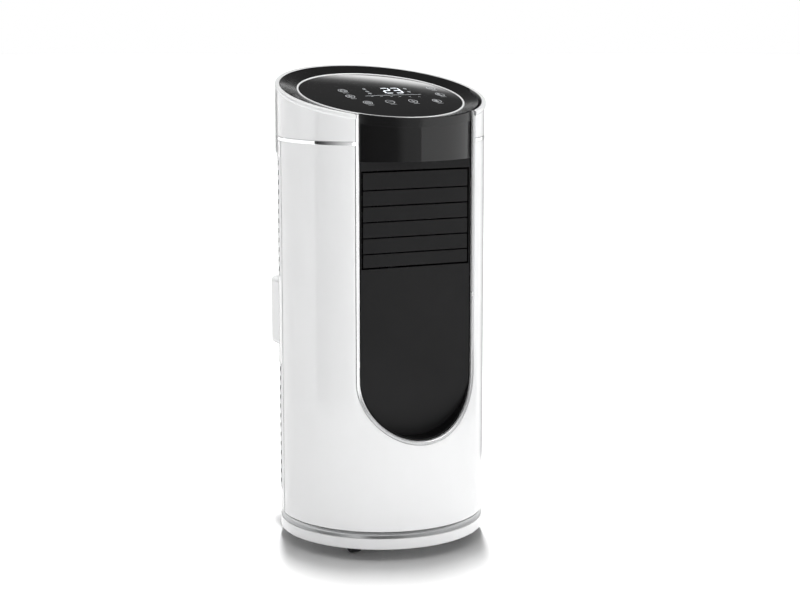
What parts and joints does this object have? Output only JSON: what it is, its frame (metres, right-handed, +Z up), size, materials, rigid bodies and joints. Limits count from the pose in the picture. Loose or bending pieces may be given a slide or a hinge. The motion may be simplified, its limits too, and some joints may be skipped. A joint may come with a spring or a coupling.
{
  "type": "portable air conditioner",
  "caption": "Round tower air conditioner on casters with a slanted touch-control top, a black front with a pivoting louvre, rear intake grilles and a rear exhaust outlet.",
  "frame": {"origin": "middle of the floor area under the object, at floor level", "axes": "+Z up, -Y towards the front with the louvre, +X to the right when seen from the front"},
  "size_m": [0.304, 0.328, 0.6914],
  "materials": {
    "white_gloss": "gloss white",
    "silver_satin": "satin silver",
    "chrome_bright": "bright plated",
    "black_satin": "fine satin black",
    "black_gloss": "piano black",
    "touch_glass": "back-printed black glass",
    "circuit_board": "solder mask",
    "filter_mesh": "fine net",
    "rubber_black": "matt",
    "coil_aluminium": "finned",
    "compressor_black": "black enamel",
    "copper_pipe": "drawn copper",
    "grey_plastic": "moulded grey",
    "motor_steel": "plated steel",
    "caster_black": "moulded black"
  },
  "bodies": {
    "cabinet": {"base_pan": "white_gloss", "base_trim": "silver_satin", "front_shell": "white_gloss", "rear_shell": "white_gloss", "upper_shell": "white_gloss", "rear_top_cover": "white_gloss", "accent_band": "chrome_bright", "front_trim": "silver_satin", "front_panel": "black_satin", "collar": "black_gloss", "louvre_frame": "black_satin", "louvre_motor": "motor_steel", "top_dish": "black_gloss", "control_ring": "chrome_bright", "control_glass": "touch_glass", "display_board": "circuit_board", "exhaust_outlet": "white_gloss", "cord_gland": "black_satin", "condenser": "coil_aluminium", "evaporator": "coil_aluminium", "compressor": "compressor_black", "compressor_feet": "rubber_black", "discharge_pipe": "copper_pipe", "suction_pipe": "copper_pipe", "liquid_pipe": "copper_pipe", "deck": "grey_plastic", "condenser_scroll": "grey_plastic", "condenser_motor": "motor_steel", "evaporator_scroll": "grey_plastic", "evaporator_motor": "motor_steel", "electronics_box": "grey_plastic", "base_screws": "motor_steel"},
    "upper_intake": {"upper_grille": "white_gloss", "upper_filter": "filter_mesh"},
    "lower_intake": {"lower_grille": "white_gloss"},
    "drain_plug": {"drain_plug": "rubber_black"},
    "louvre_link": {"louvre_link": "black_satin"},
    "louvre_crank": {"louvre_crank": "black_satin"},
    "vane_link": {"vane_link": "black_satin"},
    "condenser_fan": {"condenser_fan": "grey_plastic"},
    "evaporator_fan": {"evaporator_fan": "grey_plastic"},
    "louvre_slat_1": {"louvre_slat_1": "black_satin"},
    "louvre_slat_2": {"louvre_slat_2": "black_satin"},
    "louvre_slat_3": {"louvre_slat_3": "black_satin"},
    "louvre_slat_4": {"louvre_slat_4": "black_satin"},
    "louvre_slat_5": {"louvre_slat_5": "black_satin"},
    "louvre_slat_6": {"louvre_slat_6": "black_satin"},
    "vane_1": {"vane_1": "black_satin"},
    "vane_2": {"vane_2": "black_satin"},
    "vane_3": {"vane_3": "black_satin"},
    "vane_4": {"vane_4": "black_satin"},
    "vane_5": {"vane_5": "black_satin"},
    "caster_1": {"caster_fork_1": "caster_black"},
    "wheel_1": {"caster_wheel_1": "caster_black"},
    "caster_2": {"caster_fork_2": "caster_black"},
    "wheel_2": {"caster_wheel_2": "caster_black"},
    "caster_3": {"caster_fork_3": "caster_black"},
    "wheel_3": {"caster_wheel_3": "caster_black"},
    "caster_4": {"caster_fork_4": "caster_black"},
    "wheel_4": {"caster_wheel_4": "caster_black"}
  },
  "joints": [
    {"name": "upper_intake_pull", "type": "slide", "parent": "cabinet", "child": "upper_intake", "axis": [0, 1, 0], "range_m": [0, 0.12]},
    {"name": "lower_intake_pull", "type": "slide", "parent": "cabinet", "child": "lower_intake", "axis": [0, 1, 0], "range_m": [0, 0.12]},
    {"name": "drain_plug_pull", "type": "slide", "parent": "cabinet", "child": "drain_plug", "axis": [0, 1, 0], "range_m": [0, 0.03]},
    {"name": "louvre_1_swing", "type": "hinge", "parent": "cabinet", "child": "louvre_slat_1", "pos_m": [0, -0.12299, 0.53955], "axis": [1, 0, 0], "range_deg": [0, 80]},
    {"name": "louvre_2_swing", "type": "hinge", "parent": "cabinet", "child": "louvre_slat_2", "pos_m": [0, -0.12299, 0.5158], "axis": [1, 0, 0], "range_deg": [0, 80]},
    {"name": "louvre_3_swing", "type": "hinge", "parent": "cabinet", "child": "louvre_slat_3", "pos_m": [0, -0.12299, 0.4936], "axis": [1, 0, 0], "range_deg": [0, 80]},
    {"name": "louvre_4_swing", "type": "hinge", "parent": "cabinet", "child": "louvre_slat_4", "pos_m": [0, -0.12299, 0.4714], "axis": [1, 0, 0], "range_deg": [0, 80]},
    {"name": "louvre_5_swing", "type": "hinge", "parent": "cabinet", "child": "louvre_slat_5", "pos_m": [0, -0.12299, 0.4492], "axis": [1, 0, 0], "range_deg": [0, 80]},
    {"name": "louvre_6_swing", "type": "hinge", "parent": "cabinet", "child": "louvre_slat_6", "pos_m": [0, -0.12299, 0.4283], "axis": [1, 0, 0], "range_deg": [0, 80]},
    {"name": "louvre_crank_turn", "type": "hinge", "parent": "cabinet", "child": "louvre_crank", "pos_m": [0, -0.12299, 0.38], "axis": [1, 0, 0], "range_deg": [0, 80]},
    {"name": "louvre_link_pivot", "type": "hinge", "parent": "louvre_slat_1", "child": "louvre_link", "pos_m": [0, -0.11099, 0.53955], "axis": [1, 0, 0], "range_deg": [-80, 0]},
    {"name": "vane_1_swing", "type": "hinge", "parent": "cabinet", "child": "vane_1", "pos_m": [-0.06, -0.08799, 0.399], "axis": [0, 0, 1], "range_deg": [-30, 30]},
    {"name": "vane_2_swing", "type": "hinge", "parent": "cabinet", "child": "vane_2", "pos_m": [-0.03, -0.08799, 0.399], "axis": [0, 0, 1], "range_deg": [-30, 30]},
    {"name": "vane_3_swing", "type": "hinge", "parent": "cabinet", "child": "vane_3", "pos_m": [0, -0.08799, 0.399], "axis": [0, 0, 1], "range_deg": [-30, 30]},
    {"name": "vane_4_swing", "type": "hinge", "parent": "cabinet", "child": "vane_4", "pos_m": [0.03, -0.08799, 0.399], "axis": [0, 0, 1], "range_deg": [-30, 30]},
    {"name": "vane_5_swing", "type": "hinge", "parent": "cabinet", "child": "vane_5", "pos_m": [0.06, -0.08799, 0.399], "axis": [0, 0, 1], "range_deg": [-30, 30]},
    {"name": "vane_link_pivot", "type": "hinge", "parent": "vane_1", "child": "vane_link", "pos_m": [-0.06, -0.07699, 0.399], "axis": [0, 0, 1], "range_deg": [-30, 30]},
    {"name": "condenser_fan_spin", "type": "hinge", "parent": "cabinet", "child": "condenser_fan", "pos_m": [0, -0.02899, 0.277], "axis": [0, 0, 1], "continuous": true},
    {"name": "evaporator_fan_spin", "type": "hinge", "parent": "cabinet", "child": "evaporator_fan", "pos_m": [0, -0.011, 0.399], "axis": [0, 0, 1], "continuous": true},
    {"name": "caster_1_swivel", "type": "hinge", "parent": "cabinet", "child": "caster_1", "pos_m": [-0.079, -0.1, 0.036], "axis": [0, 0, 1], "continuous": true},
    {"name": "wheel_1_roll", "type": "hinge", "parent": "caster_1", "child": "wheel_1", "pos_m": [-0.079, -0.091, 0.015], "axis": [1, 0, 0], "continuous": true},
    {"name": "caster_2_swivel", "type": "hinge", "parent": "cabinet", "child": "caster_2", "pos_m": [0.079, -0.1, 0.036], "axis": [0, 0, 1], "continuous": true},
    {"name": "wheel_2_roll", "type": "hinge", "parent": "caster_2", "child": "wheel_2", "pos_m": [0.079, -0.091, 0.015], "axis": [1, 0, 0], "continuous": true},
    {"name": "caster_3_swivel", "type": "hinge", "parent": "cabinet", "child": "caster_3", "pos_m": [-0.079, 0.072, 0.036], "axis": [0, 0, 1], "continuous": true},
    {"name": "wheel_3_roll", "type": "hinge", "parent": "caster_3", "child": "wheel_3", "pos_m": [-0.079, 0.081, 0.015], "axis": [1, 0, 0], "continuous": true},
    {"name": "caster_4_swivel", "type": "hinge", "parent": "cabinet", "child": "caster_4", "pos_m": [0.079, 0.072, 0.036], "axis": [0, 0, 1], "continuous": true},
    {"name": "wheel_4_roll", "type": "hinge", "parent": "caster_4", "child": "wheel_4", "pos_m": [0.079, 0.081, 0.015], "axis": [1, 0, 0], "continuous": true}
  ],
  "couplings": [
    {"joint": "louvre_2_swing", "follows": "louvre_1_swing", "ratio": 1},
    {"joint": "louvre_3_swing", "follows": "louvre_1_swing", "ratio": 1},
    {"joint": "louvre_4_swing", "follows": "louvre_1_swing", "ratio": 1},
    {"joint": "louvre_5_swing", "follows": "louvre_1_swing", "ratio": 1},
    {"joint": "louvre_6_swing", "follows": "louvre_1_swing", "ratio": 1},
    {"joint": "louvre_crank_turn", "follows": "louvre_1_swing", "ratio": 1},
    {"joint": "louvre_link_pivot", "follows": "louvre_1_swing", "ratio": -1},
    {"joint": "vane_2_swing", "follows": "vane_1_swing", "ratio": 1},
    {"joint": "vane_3_swing", "follows": "vane_1_swing", "ratio": 1},
    {"joint": "vane_4_swing", "follows": "vane_1_swing", "ratio": 1},
    {"joint": "vane_5_swing", "follows": "vane_1_swing", "ratio": 1},
    {"joint": "vane_link_pivot", "follows": "vane_1_swing", "ratio": -1}
  ]
}
